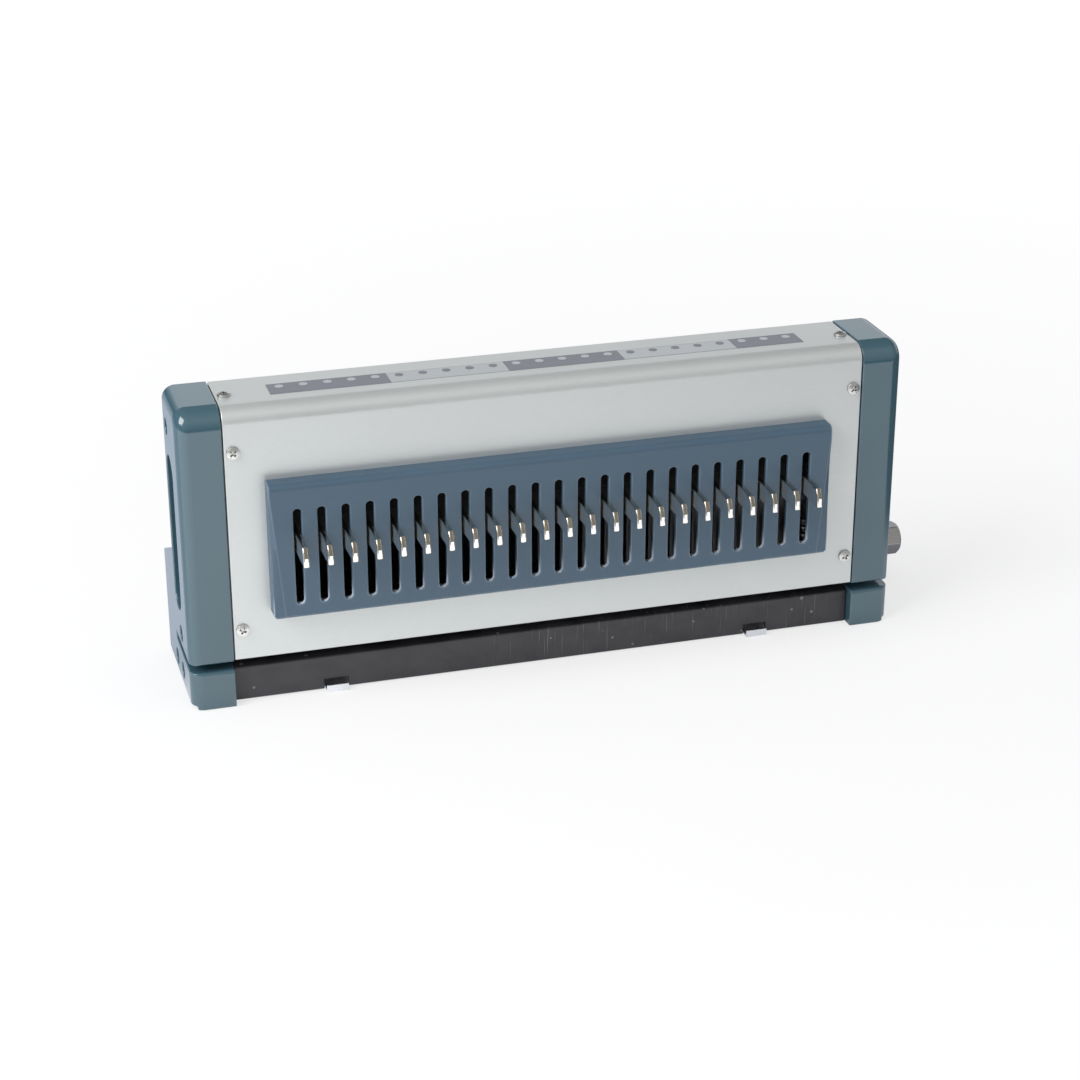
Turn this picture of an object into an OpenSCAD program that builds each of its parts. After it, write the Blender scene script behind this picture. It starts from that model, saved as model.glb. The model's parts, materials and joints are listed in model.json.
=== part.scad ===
// Binding punch: a bench-top die unit that punches a row of 23 round holes at 12.7 mm pitch.
// Twenty-three pull tabs on the front take single punch pins out of the row.
// A hexagonal shaft end on the right side drives the ram down by two racks and pinions.
// Millimetres. X runs along the row of holes, the front is -Y, Z is up, the base is Z = 0.

/* [Hole pattern] */
// Distance from one punched hole to the next
hole_pitch = 12.7; // [12.7:0.1:14.3]
// Diameter of a punched hole
hole_d = 6.5; // [4:0.1:6.8]
// Distance from the front of the body to the line of the punch pins
pin_setback = 23; // [22:0.5:24]
// Distance from the pin line to the paper stop
edge_margin = 7; // [6.5:0.1:8]

/* [Body] */
// Depth of the lower body from front to back
body_depth = 82; // [76:1:96]
// Depth of the tall upper body
head_depth = 45.5; // [43:0.5:50]
// Height of the whole unit
body_h = 167; // [160:1:186]
// Distance from the last hole to the inner face of an end cheek
end_room = 34.9; // [34.9:0.1:42]
// Height of the sloping hood at its rear edge
hood_low = 60; // [52:1:64]
// Slope of the hood towards the upper body, in degrees
hood_slope = 23.5; // [18:0.5:26]

/* [End cheeks] */
// Width of one end cheek
cheek_w = 23.4; // [21:0.1:30]
// Rounding of the outer edges of a cheek
edge_r = 7; // [4:0.5:9]
// Rounding of a cheek between its front and its top
cheek_bend_r = 11; // [9.5:0.5:13]
// Height of the grip recess in a cheek
grip_h = 87; // [70:1:90]
// Width of the grip recess
grip_w = 21; // [18:0.5:22]
// Depth of the grip recess
grip_depth = 8; // [5:0.5:12]

/* [Paper throat] */
// Height of the die surface that the paper lies on
throat_z = 21.4; // [21:0.1:24]
// Opening of the throat
throat_gap = 4.3; // [4.2:0.1:6]

/* [Cover and bezel] */
// Thickness of the cover sheet
sheet_t = 1.5; // [1:0.1:2]
// Rounding of the cover's bend between the front and the top
bend_r = 8.5; // [5:0.5:11]
// How far the bezel stands out from the cover
bezel_out = 10.3; // [8:0.1:14]
// Wall of the moulded bezel
bezel_wall = 2.5; // [2:0.1:3.5]

/* [Pull tabs] */
// Thickness of a tab
tab_t = 3; // [2:0.1:3.4]
// Height of a tab
tab_h = 10.1; // [9:0.1:11]
// How far a tab stands out of the bezel when pushed in
tab_out = 21.4; // [16:0.1:28]

/* [Drive] */
// Stroke of the ram
stroke = 14; // [11:0.5:14]
// Distance across the flats of the hexagonal shaft end
hex_flats = 17; // [14:0.5:19]
// How far the shaft end stands out from the right cheek
hex_out = 31.5; // [18:0.5:45]

/* [Hidden] */
$fn = 64;
hole_count = 23;
first_hole = -(hole_count - 1) / 2 * hole_pitch;
last_hole = -first_hole;
function hole_x(i) = first_hole + i * hole_pitch;

// Clearances, and how far a cut runs past the face that it opens
run_fit = 0.05;
slide_gap = 0.2;
seam = 0.3;
cover_seam = 0.6;
flush_set = 0.3;
screw_gap = 0.2;
free_gap = 0.4;
past = 1;

// Outline of the body
cheek_in = last_hole + end_room;
half_len = cheek_in + cheek_w;
front_y = -body_depth / 2;
rear_y = body_depth / 2;
head_rear = front_y + head_depth;
top_z = body_h;
hood_high = hood_low + (rear_y - head_rear) * tan(hood_slope);
throat_top = throat_z + throat_gap;
pin_y = front_y + pin_setback;
stop_y = pin_y + edge_margin;

// Moulded cheeks: shells that are open towards the side plates
cheek_wall = 4;
cheek_skin = 3.4;
rear_edge_r = 3;
hood_edge_r = 3;
slit_r = 2.2;
slit_wall = 3;
plinth_h = 2;
plinth_in = 3;
boss_d = 15;
rib_t = 2.4;
rib_pitch = 24;
rib_count = 4;
grip_wall = 3;
grip_set = 3;
grip_lift = 20.3;
grip_y = head_rear - grip_set - grip_w / 2;
grip_z = throat_top + grip_lift;

// Sheet covers
hood_set = 0.4;
hood_bend = 3;
cover_lift = 1.4;
cover_y = front_y + flush_set;
cover_in_y = cover_y + sheet_t;
cover_z = top_z - flush_set;
cover_half = cheek_in - cover_seam;
cover_low = throat_top + cover_lift;
rear_sheet_y = head_rear - flush_set;
hood_rear = rear_y - flush_set;
hood_front = rear_sheet_y - sheet_t;
hood_top = hood_low - hood_set;
function hood_z(y) = hood_top + (hood_rear - y) * tan(hood_slope);

// Side plates
plate_t = 10.5;
plate_in = cheek_in - plate_t;
plate_mid = cheek_in - plate_t / 2;

// Floor, and how far the floor and the die reach to each side
floor_z = 0;
floor_t = 1.8;
floor_top = floor_z + floor_t;
bar_half = cheek_in - seam;

// Die, guide and stop
die_set = 6.2;
stop_t = 3;
die_front = front_y + die_set;
die_rear = stop_y + stop_t;
die_low = 0.5;
die_fit_h = 9;
relief_d = hole_d + 1.5;
lead_in = 2;
lead_depth = 5;
guide_t = 8;
guide_ahead = 12;
guide_front = pin_y - guide_ahead;
guide_top = throat_top + guide_t;

// Ram stack, from the pins up
tab_low = 89.2;
tab_top = tab_low + tab_h;
pin_lift = 1.5;
pin_tip = throat_top + pin_lift;
pin_top = tab_low - slide_gap;
head_t = 2.6;
head_rim = 1.05;
head_d = hole_d + 2 * head_rim;
keeper_t = 6;
keeper_top = pin_top - head_t;
keeper_low = keeper_top - keeper_t;
stack_end = 7.8;
stack_deep = 14;
stack_half = last_hole + stack_end;
stack_front = pin_y - stack_deep;
stack_rear = pin_y + stack_deep;
comb_top = tab_top + slide_gap;
beam_h = 24;
beam_over = 2;
beam_web = 12;
beam_wall = 5;
beam_floor = 8;
beam_top = comb_top + beam_h;

// Pull tabs
pull_spare = 1.4;
pull = head_d + pull_spare;
notch_spare = 0.9;
bezel_y = cover_y - bezel_out;
tab_nose = bezel_y - tab_out;
tab_notch = pin_y + head_d / 2 + notch_spare;
notch_h = 6.5;
nose_rise = 5.2;
nose_back = 3.3;

// Bezel
tab_side_gap = 0.6;
slot_below = 29.5;
slot_above = 13.7;
slot_edge = 0.4;
rim_below = 7.5;
rim_above = 14;
rim_end = 14.3;
slot_w = tab_t + 2 * tab_side_gap;
slot_low = tab_low - slot_below;
slot_high = tab_top + slot_above;
bezel_low = slot_low - rim_below;
bezel_high = slot_high + rim_above;
bezel_half = last_hole + rim_end;
bezel_r = 3.5;
bezel_chamfer = 0.8;
bezel_foot_r = 2.2;
crease_in = 6.3;
scoop = 1.7;
scoop_foot = 0.5;
scoop_peak = 27 / 4;
scoop_steps = 12;

// Window in the cover behind the bezel
window_end = 8.3;
window_lift = 4;
window_drop = 5;
window_half = last_hole + window_end;
window_low = bezel_low + window_lift;
window_high = bezel_high - window_drop;

// Guide columns and return springs
column_d = 10;
column_seat = 1;
bush_d = 13;
column_x = (stack_half + plate_in) / 2;
tie_t = 8;
tie_drop = 21;
tie_deep = 9;
tie_z = top_z - tie_drop;
bracket_drop = 14.4;
bracket_low = keeper_low - bracket_drop;
bracket_gap = 0.3;
bracket_rear = stack_rear + beam_over;
lug_reach = 3.7;
lug_h = 5.2;
lug_drop = 1.4;
lug_set = 2.2;
lug_low = keeper_low - lug_drop;
lug_high = lug_low + lug_h;
lug_front = cover_in_y + lug_set;
spring_wire = 1.6;
spring_r = 7;
spring_turns = 8;
spring_low = guide_top + spring_wire / 2;
spring_len = bracket_low - guide_top - spring_wire;
spring_pitch = spring_len / spring_turns;
spring_gap = spring_pitch - spring_wire;
echo(least_self_gap_of_return_springs = spring_gap);

// Rack and pinion drive
gear_module = 1.4;
gear_teeth = 18;
gear_angle = 20;
gear_r = gear_module * gear_teeth / 2;
gear_base_r = gear_r * cos(gear_angle);
gear_tip_r = gear_r + gear_module;
dedendum = 1.25 * gear_module;
gear_root_r = gear_r - dedendum;
gear_w = 10;
flank_play = 0.1;
tooth_pitch = PI * gear_module;
shaft_setback = 19.05;
shaft_y = rear_y - shaft_setback;
shaft_z = 22;
shaft_d = 16;
bearing_d = 22;
rack_bar_t = 5.6;
rack_line = shaft_y - gear_r;
rack_tip = rack_line + gear_module;
rack_root = rack_line - dedendum;
rack_front = rack_root - rack_bar_t;
rack_below = 4.5;
rack_above = 5;
rack_low = shaft_z - rack_below;
rack_teeth_top = shaft_z + stroke + rack_above;
rack_top = 60;
arm_low = 40;
arm_join = 8;
arm_front = max(pin_y + spring_r + spring_wire / 2, die_rear) + free_gap;
slit_behind = 15;
slit_end = shaft_y - slit_behind;
hex_inset = 1.4;
hex_start = cheek_in + hex_inset;
hex_end = half_len + hex_out;
hex_corner = hex_flats / sqrt(3);
hex_len = hex_end - hex_start;
hex_chamfer = 2.6;
hex_face = hex_flats - 0.8;
shaft_hole_d = 24;
collar_d = 31;

// Screws
screw_d = 4;
screw_len = 12;
pan_d = 6.8;
pan_h = 1.9;
pan_dome_r = 8.5;
cross_l = 3.8;
cross_w = 1;
cross_deep = 1.2;
cross_step = 25;
cap_d = 8;
cap_h = 4;
cap_key = 4;
cap_key_deep = 2;
cheek_bore_d = 9;
cheek_floor = 6.4;
screw_bite = screw_len - cheek_floor;
front_screw_up = 18.4;
front_screw_down = 23.6;
top_screw_back = 21.8;
rear_screw_up = 14;
rear_screw_down = 12;
hood_screw_up = 6.2;
hood_screw_down = 14;
front_screw_z = [throat_top + front_screw_up, top_z - front_screw_down];
top_screw_y = front_y + top_screw_back;
rear_screw_z = [hood_high + rear_screw_up, top_z - rear_screw_down];
hood_screw_z = [floor_top + hood_screw_up, hood_low - hood_screw_down];
top_bore_in = 9.5;
top_bore_down = 19;
mid_bore_back = 5;
mid_bore_up = 7.5;
foot_bore_ahead = 13;
foot_bore_down = 11.9;
die_bore_ahead = 0.5;
die_bore_down = 10.7;
cheek_screws_at = [
  [head_rear - top_bore_in, top_z - top_bore_down],
  [pin_y + mid_bore_back, throat_top + mid_bore_up],
  [shaft_y - foot_bore_ahead, throat_z - foot_bore_down],
  [stop_y - die_bore_ahead, throat_z - die_bore_down]
];

// Position marks on the top
mark_t = 0.1;
field_set = 16.6;
field_depth = 14.9;
dot_set = 27.1;
field_front = front_y + field_set;
dot_y = front_y + dot_set;
dot_d = 4.6;
group_count = 5;

// Front catches
catch_from_last = 20.2;
catch_x = last_hole - catch_from_last;
catch_w = 12;
catch_t = 1.5;
catch_play = 0.5;
catch_set = 2.4;
catch_reach = 11;
catch_front = front_y + catch_set;
catch_back = die_front + catch_reach;
catch_high = 4;
catch_notch_h = 6;
catch_notch_deep = 2;

// Cuts a rounding out of a corner at the origin of a shape that lies towards sx, sy
module corner_cut(r, sx, sy) {
  difference() {
    polygon([[-sx, -sy], [sx * r, -sy], [sx * r, sy * r], [-sx, sy * r]]);
    translate([sx * r, sy * r])
      circle(r = r);
  }
}

// Extrudes a Y-Z outline along X from x0 over a length
module along_x(x0, len) {
  translate([x0, 0, 0])
    rotate([90, 0, 90])
      linear_extrude(height = len)
        children();
}

// Extrudes an X-Z outline along Y from y0 over a length
module along_y(y0, len) {
  translate([0, y0 + len, 0])
    rotate([90, 0, 0])
      linear_extrude(height = len)
        children();
}

// A box given by its two outer corners
module block(low, high) {
  translate(low)
    cube(high - low);
}

// Slot outline with round ends, standing on its lower end
module slot_outline(w, h) {
  translate([-w / 2, w / 2])
    square([w, h - w]);
  translate([0, w / 2])
    circle(d = w);
  translate([0, h - w / 2])
    circle(d = w);
}

// A piece and its mirror image on the other end
module both_ends() {
  children();
  mirror([1, 0, 0])
    children();
}

// Side outline of a cheek with the open paper slit
module cheek_side() {
  bend_y = rear_y - hood_edge_r;
  bend_z = hood_low + hood_edge_r * (tan(hood_slope) - 1 / cos(hood_slope));
  difference() {
    union() {
      polygon([
        [front_y, 0], [rear_y, 0], [rear_y, bend_z],
        [bend_y + hood_edge_r * sin(hood_slope), bend_z + hood_edge_r * cos(hood_slope)],
        [head_rear, hood_high], [head_rear, top_z], [front_y, top_z]
      ]);
      translate([bend_y, bend_z])
        circle(r = hood_edge_r);
    }
    translate([front_y - past, throat_z])
      square([slit_end - front_y + past, throat_gap]);
    translate([front_y, throat_top])
      corner_cut(slit_r, 1, 1);
    translate([front_y, throat_z])
      corner_cut(slit_r, 1, -1);
  }
}

// Front outline of a cheek, inner face at zero
module cheek_face() {
  difference() {
    square([cheek_w, top_z]);
    translate([cheek_w - plinth_in, -past])
      square([plinth_in + past, plinth_h + past]);
    translate([cheek_w, top_z])
      corner_cut(edge_r, -1, -1);
  }
}

// Plan outline of a cheek, inner face at zero
module cheek_plan() {
  difference() {
    translate([0, front_y])
      square([cheek_w, body_depth]);
    translate([cheek_w, front_y])
      corner_cut(edge_r, -1, 1);
    translate([cheek_w, rear_y])
      corner_cut(rear_edge_r, -1, -1);
  }
}

// Upper front corner of a cheek, where its edge rounding runs on round the bend
module cheek_corner() {
  block(
    [cheek_in - past, front_y - past, top_z - cheek_bend_r],
    [half_len + past, front_y + cheek_bend_r, top_z + past]
  );
}

// Section of a cheek across its bend, from the middle of the bend outwards
module cheek_rim() {
  difference() {
    square([cheek_bend_r, cheek_w]);
    translate([cheek_bend_r, cheek_w])
      corner_cut(edge_r, -1, -1);
  }
}

// Outer shape of a cheek with all its roundings
module cheek_shape() {
  difference() {
    intersection() {
      along_x(cheek_in, cheek_w)
        cheek_side();
      translate([cheek_in, 0, 0])
        along_y(front_y, body_depth)
          cheek_face();
      translate([cheek_in, 0, 0])
        linear_extrude(height = top_z)
          cheek_plan();
    }
    cheek_corner();
  }
  intersection() {
    cheek_corner();
    translate([cheek_in, front_y + cheek_bend_r, top_z - cheek_bend_r])
      rotate([0, 90, 0])
        rotate_extrude()
          cheek_rim();
  }
}

// Hollow of a cheek from the side, around its slit, solid toe, screw bosses, ribs and shaft collar
module cheek_hollow(collar) {
  slope_in = cheek_wall * (1 / cos(hood_slope) - tan(hood_slope));
  difference() {
    polygon([
      [front_y + cheek_wall, cheek_wall], [rear_y - cheek_wall, cheek_wall],
      [rear_y - cheek_wall, hood_low - slope_in], [head_rear - cheek_wall, hood_high - slope_in],
      [head_rear - cheek_wall, top_z - cheek_wall], [front_y + cheek_wall, top_z - cheek_wall]
    ]);
    translate([front_y, throat_z - slit_wall])
      square([slit_end + slit_wall - front_y, throat_gap + 2 * slit_wall]);
    translate([front_y, 0])
      square([die_set + cheek_wall, throat_z]);
    translate([front_y + cheek_wall, top_z - cheek_wall])
      corner_cut(cheek_bend_r - cheek_wall, 1, -1);
    for (at = cheek_screws_at)
      translate(at)
        circle(d = boss_d);
    for (k = [1 : rib_count])
      translate([front_y, throat_top + k * rib_pitch])
        square([body_depth, rib_t]);
    if (collar)
      translate([shaft_y, shaft_z])
        circle(d = collar_d);
  }
}

// One moulded end cheek on the right, with or without the shaft opening
module cheek(collar) {
  behind_grip = cheek_w - grip_depth - grip_wall;
  difference() {
    cheek_shape();
    along_x(cheek_in - past, behind_grip + past)
      cheek_hollow(collar);
    along_x(cheek_in - past, cheek_w - cheek_skin + past)
      difference() {
        cheek_hollow(collar);
        translate([grip_y, grip_z - grip_wall])
          slot_outline(grip_w + 2 * grip_wall, grip_h + 2 * grip_wall);
      }
    along_x(half_len - grip_depth, grip_depth + past)
      translate([grip_y, grip_z])
        slot_outline(grip_w, grip_h);
    for (at = cheek_screws_at) {
      along_x(cheek_in + cheek_floor, cheek_w)
        translate(at)
          circle(d = cheek_bore_d);
      along_x(cheek_in - past, cheek_w)
        translate(at)
          circle(d = screw_d + 2 * screw_gap);
    }
    if (collar)
      along_x(cheek_in - past, cheek_w + 2 * past)
        translate([shaft_y, shaft_z])
          circle(d = shaft_hole_d);
  }
}

module left_cheek() {
  color("slategray")
    mirror([1, 0, 0])
      cheek(false);
}

module right_cheek() {
  color("slategray")
    cheek(true);
}

// Outline of the bent cover sheet: front panel, bend and top panel
module cover_outline() {
  inner_r = bend_r - sheet_t;
  difference() {
    translate([cover_y, cover_low])
      square([rear_sheet_y - cover_y, cover_z - cover_low]);
    translate([cover_y, cover_z])
      corner_cut(bend_r, 1, -1);
    difference() {
      translate([cover_in_y, cover_low - past])
        square([head_depth, cover_z - sheet_t - cover_low + past]);
      translate([cover_in_y, cover_z - sheet_t])
        corner_cut(inner_r, 1, -1);
    }
  }
}

module front_cover() {
  color("lightgray")
    difference() {
      along_x(-cover_half, 2 * cover_half)
        cover_outline();
      block([-window_half, cover_y - past, window_low], [window_half, cover_in_y + past, window_high]);
      both_ends() {
        for (z = front_screw_z)
          along_y(cover_y - past, sheet_t + 2 * past)
            translate([plate_mid, z])
              circle(d = screw_d + 2 * screw_gap);
        translate([plate_mid, top_screw_y, cover_z - sheet_t - past])
          cylinder(d = screw_d + 2 * screw_gap, h = sheet_t + 2 * past);
      }
    }
}

module rear_cover() {
  color("lightgray")
    difference() {
      block([-cover_half, rear_sheet_y - sheet_t, hood_z(hood_front)],
            [cover_half, rear_sheet_y, cover_z - sheet_t]);
      both_ends()
        for (z = rear_screw_z)
          along_y(rear_sheet_y - sheet_t - past, sheet_t + 2 * past)
            translate([plate_mid, z])
              circle(d = screw_d + 2 * screw_gap);
    }
}

// Shape under the rear hood, inset by t: an upright rear wall, a rounded bend and a slope
module hood_shape(t, over) {
  r = hood_bend - t;
  bend_y = hood_rear - hood_bend;
  bend_z = hood_z(bend_y) - hood_bend / cos(hood_slope);
  front = hood_front - over;
  polygon([
    [front, floor_top - over], [hood_rear - t, floor_top - over], [hood_rear - t, bend_z],
    [bend_y + r * sin(hood_slope), bend_z + r * cos(hood_slope)],
    [front, hood_z(front) - t / cos(hood_slope)]
  ]);
  translate([bend_y, bend_z])
    circle(r = r);
}

module rear_hood() {
  color("dimgray")
    difference() {
      along_x(-cover_half, 2 * cover_half)
        difference() {
          hood_shape(0, 0);
          hood_shape(sheet_t, past);
        }
      both_ends()
        for (z = hood_screw_z)
          along_y(hood_rear - sheet_t - past, sheet_t + 2 * past)
            translate([plate_mid, z])
              circle(d = screw_d + 2 * screw_gap);
    }
}

module floor_plate() {
  color("dimgray")
    block([-bar_half, die_rear + seam, floor_z], [bar_half, hood_rear, floor_top]);
}

// Side outline of a side plate, inside the sheets, with the open paper slit
module plate_outline() {
  difference() {
    union() {
      translate([cover_in_y, cover_low])
        square([hood_front - cover_in_y, cover_z - sheet_t - cover_low]);
      intersection() {
        hood_shape(sheet_t, body_depth);
        translate([die_rear + seam, floor_top])
          square([body_depth, top_z]);
      }
    }
    translate([cover_in_y, cover_z - sheet_t])
      corner_cut(bend_r, 1, -1);
    translate([cover_in_y - past, throat_z])
      square([slit_end - cover_in_y + past, throat_gap]);
  }
}

// Side plate on one side (1 right, -1 left): it carries the covers, the guide and a shaft bearing
module side_plate(side) {
  x0 = side * cheek_in - plate_t * (side + 1) / 2;
  mid = side * plate_mid;
  difference() {
    along_x(x0, plate_t)
      plate_outline();
    along_x(x0 - past, plate_t + 2 * past)
      translate([shaft_y, shaft_z])
        circle(d = bearing_d);
    for (at = cheek_screws_at)
      along_x(side * cheek_in - screw_bite, 2 * screw_bite)
        translate(at)
          circle(d = screw_d);
    for (z = front_screw_z)
      along_y(cover_in_y - past, screw_len + past)
        translate([mid, z])
          circle(d = screw_d);
    translate([mid, top_screw_y, cover_z - sheet_t - screw_len])
      cylinder(d = screw_d, h = screw_len + past);
    for (z = rear_screw_z)
      along_y(rear_sheet_y - sheet_t - screw_len, screw_len + past)
        translate([mid, z])
          circle(d = screw_d);
    for (z = hood_screw_z)
      along_y(hood_rear - sheet_t - screw_len, screw_len + past)
        translate([mid, z])
          circle(d = screw_d);
  }
}

module left_side_plate() {
  color("silver")
    side_plate(-1);
}

module right_side_plate() {
  color("silver")
    side_plate(1);
}

// Outline of the bezel shell from outside, with a rounded edge along its top
module bezel_outline() {
  difference() {
    polygon([
      [cover_y, bezel_low], [bezel_y + bezel_chamfer, bezel_low],
      [bezel_y, bezel_low + bezel_chamfer], [bezel_y, bezel_high], [cover_y, bezel_high]
    ]);
    translate([bezel_y, bezel_high])
      corner_cut(bezel_r, 1, -1);
  }
}

// Cut at the right end of the bezel: it opens along a slanting crease and is deepest near the top
module bezel_scoop() {
  start = bezel_high - bezel_r;
  drop = start - bezel_low;
  points = [
    for (k = [0 : scoop_steps])
      let (
        z = start - (drop + past) * k / scoop_steps,
        t = (start - z) / drop,
        w = crease_in * t - seam,
        steep = (scoop_peak * scoop * pow(1 - t, 2) + scoop_foot) / crease_in,
        x = bezel_half - w,
        end = bezel_half + past
      )
        each [
          [x, bezel_y - past, z], [end, bezel_y - past, z],
          [end, bezel_y + steep * (w + past), z], [x, bezel_y, z]
        ]
  ];
  skin = [
    for (k = [0 : scoop_steps - 1])
      for (s = [0 : 3])
        let (n = (s + 1) % 4, a = 4 * k, b = a + 4)
          each [[a + s, a + n, b + n], [a + s, b + n, b + s]]
  ];
  last = 4 * scoop_steps;
  polyhedron(points = points, faces = concat(skin, [[3, 2, 1, 0]], [[last, last + 1, last + 2, last + 3]]));
}

// One slot through the bezel's face, with a chamfered edge
module bezel_slot() {
  r = slot_w / 2;
  along_y(bezel_y - past, bezel_wall + 2 * past)
    translate([0, slot_low])
      slot_outline(slot_w, slot_high - slot_low);
  for (z = [slot_low + r, slot_high - r])
    translate([0, bezel_y - slot_edge, z])
      rotate([-90, 0, 0])
        cylinder(r1 = r + 2 * slot_edge, r2 = r, h = 2 * slot_edge);
  translate([0, bezel_y, slot_low + r])
    linear_extrude(height = slot_high - slot_low - slot_w)
      polygon([
        [-r - 2 * slot_edge, -slot_edge], [r + 2 * slot_edge, -slot_edge], [r, slot_edge], [-r, slot_edge]
      ]);
}

module bezel() {
  color("slategray")
    difference() {
      along_x(-bezel_half, 2 * bezel_half)
        bezel_outline();
      block([-bezel_half + bezel_wall, bezel_y + bezel_wall, bezel_low + bezel_wall],
            [bezel_half - bezel_wall, cover_y + past, bezel_high - bezel_wall]);
      both_ends() {
        bezel_scoop();
        along_y(bezel_y - past, bezel_out + 2 * past)
          translate([bezel_half, bezel_low])
            corner_cut(bezel_foot_r, -1, 1);
      }
      for (i = [0 : hole_count - 1])
        translate([hole_x(i), 0, 0])
          bezel_slot();
    }
}

// Position marks: a light film, dark fields on it and a dot over every hole
function in_dark_field(i) = floor(i / group_count) % 2 == 0;

module mark_film() {
  color("gainsboro")
    block([hole_x(0) - hole_pitch / 2, field_front, cover_z],
          [hole_x(hole_count - 1) + hole_pitch / 2, field_front + field_depth, cover_z + mark_t]);
}

module mark_fields() {
  color("dimgray")
    for (i = [0 : 2 * group_count : hole_count - 1])
      block([hole_x(i) - hole_pitch / 2, field_front, cover_z + mark_t],
            [hole_x(min(i + group_count, hole_count)) - hole_pitch / 2, field_front + field_depth,
             cover_z + 2 * mark_t]);
}

module light_dots() {
  color("white")
    for (i = [0 : hole_count - 1])
      if (in_dark_field(i))
        translate([hole_x(i), dot_y, cover_z + 2 * mark_t])
          cylinder(d = dot_d, h = mark_t);
}

module dark_dots() {
  color("dimgray")
    for (i = [0 : hole_count - 1])
      if (!in_dark_field(i))
        translate([hole_x(i), dot_y, cover_z + mark_t])
          cylinder(d = dot_d, h = mark_t);
}

// The black die bar: lead-in along its front edge, a die hole and a chip relief under each pin
module die_bar() {
  notch_w = catch_w + 2 * catch_play;
  color("black")
    difference() {
      along_x(-bar_half, 2 * bar_half)
        polygon([
          [die_front, die_low], [die_rear, die_low], [die_rear, throat_z],
          [die_front + lead_depth, throat_z], [die_front, throat_z - lead_in]
        ]);
      for (i = [0 : hole_count - 1])
        translate([hole_x(i), pin_y, 0]) {
          cylinder(d = hole_d + 2 * run_fit, h = throat_z + past);
          cylinder(d = relief_d, h = throat_z - die_fit_h);
        }
      both_ends() {
        block([catch_x - notch_w / 2, die_front - past, 0],
              [catch_x + notch_w / 2, catch_back + seam, floor_z + catch_t]);
        block([catch_x - notch_w / 2, die_front - past, 0],
              [catch_x + notch_w / 2, die_front + catch_notch_deep, catch_notch_h]);
        along_x(cheek_in - screw_bite, screw_bite + past)
          translate(cheek_screws_at[3])
            circle(d = screw_d);
      }
    }
}

module front_catches() {
  color("whitesmoke")
    both_ends() {
      block([catch_x - catch_w / 2, catch_front, floor_z],
            [catch_x + catch_w / 2, catch_back, floor_z + catch_t]);
      block([catch_x - catch_w / 2, catch_front, floor_z],
            [catch_x + catch_w / 2, catch_front + catch_t, catch_high]);
    }
}

// The strip that stops the paper and holds the guide plate off the die
module paper_stop() {
  color("gray")
    block([-plate_in, stop_y, throat_z], [plate_in, die_rear, throat_top]);
}

module guide_plate() {
  color("gray")
    difference() {
      block([-plate_in, guide_front, throat_top], [plate_in, die_rear, guide_top]);
      for (i = [0 : hole_count - 1])
        translate([hole_x(i), pin_y, throat_top - past])
          cylinder(d = hole_d + 2 * run_fit, h = guide_t + 2 * past);
      both_ends()
        translate([column_x, pin_y, throat_top + column_seat])
          cylinder(d = column_d, h = guide_t);
    }
}

module tie_bar() {
  color("gray")
    difference() {
      block([-plate_in, pin_y - tie_deep, tie_z], [plate_in, pin_y + tie_deep, tie_z + tie_t]);
      both_ends()
        translate([column_x, pin_y, tie_z - past])
          cylinder(d = column_d, h = tie_t - column_seat + past);
    }
}

module guide_columns() {
  color("silver")
    both_ends()
      translate([column_x, pin_y, throat_top + column_seat])
        cylinder(d = column_d, h = tie_z + tie_t - 2 * column_seat - throat_top);
}

// Round wire wound into a helix: one ring of points for every eighth of a turn
module coil(r, wire, turns, rise) {
  steps = 8;
  sides = 6;
  rings = turns * steps;
  points = [
    for (k = [0 : rings])
      for (s = [0 : sides - 1])
        let (a = 360 * k / steps, b = 360 * s / sides, q = r + wire / 2 * cos(b))
          [q * cos(a), q * sin(a), rise * k / steps + wire / 2 * sin(b)]
  ];
  skin = [
    for (k = [0 : rings - 1])
      for (s = [0 : sides - 1])
        let (n = (s + 1) % sides)
          [k * sides + s, k * sides + n, (k + 1) * sides + n, (k + 1) * sides + s]
  ];
  first_end = [for (s = [0 : sides - 1]) sides - 1 - s];
  last_end = [for (s = [0 : sides - 1]) rings * sides + s];
  polyhedron(points = points, faces = concat(skin, [first_end], [last_end]));
}

module return_springs() {
  color("silver")
    both_ends()
      translate([column_x, pin_y, spring_low])
        coil(spring_r, spring_wire, spring_turns, spring_pitch);
}

// The beam that presses on the tabs
module ram_beam() {
  color("dimgray")
    difference() {
      block([-stack_half, stack_front - beam_over, comb_top], [stack_half, stack_rear + beam_over, beam_top]);
      block([-stack_half + beam_web, stack_front - beam_over + beam_wall, comb_top + beam_floor],
            [stack_half - beam_web, stack_rear + beam_over - beam_wall, beam_top + past]);
    }
}

// The comb that guides the tabs over the pin heads
module tab_comb() {
  color("dimgray")
    difference() {
      block([-stack_half, stack_front, keeper_top], [stack_half, stack_rear, comb_top]);
      for (i = [0 : hole_count - 1])
        translate([hole_x(i), 0, 0]) {
          block([-tab_t / 2 - slide_gap, stack_front - past, pin_top - slide_gap],
                [tab_t / 2 + slide_gap, stack_rear + past, comb_top + past]);
          translate([0, pin_y, keeper_top - past])
            cylinder(d = head_d + 2 * slide_gap, h = head_t + past);
        }
    }
}

// The plate that carries the pins by their heads
module pin_keeper() {
  color("gray")
    difference() {
      block([-stack_half, stack_front, keeper_low], [stack_half, stack_rear, keeper_top]);
      for (i = [0 : hole_count - 1])
        translate([hole_x(i), pin_y, keeper_low - past])
          cylinder(d = hole_d, h = keeper_t + 2 * past);
    }
}

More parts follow.
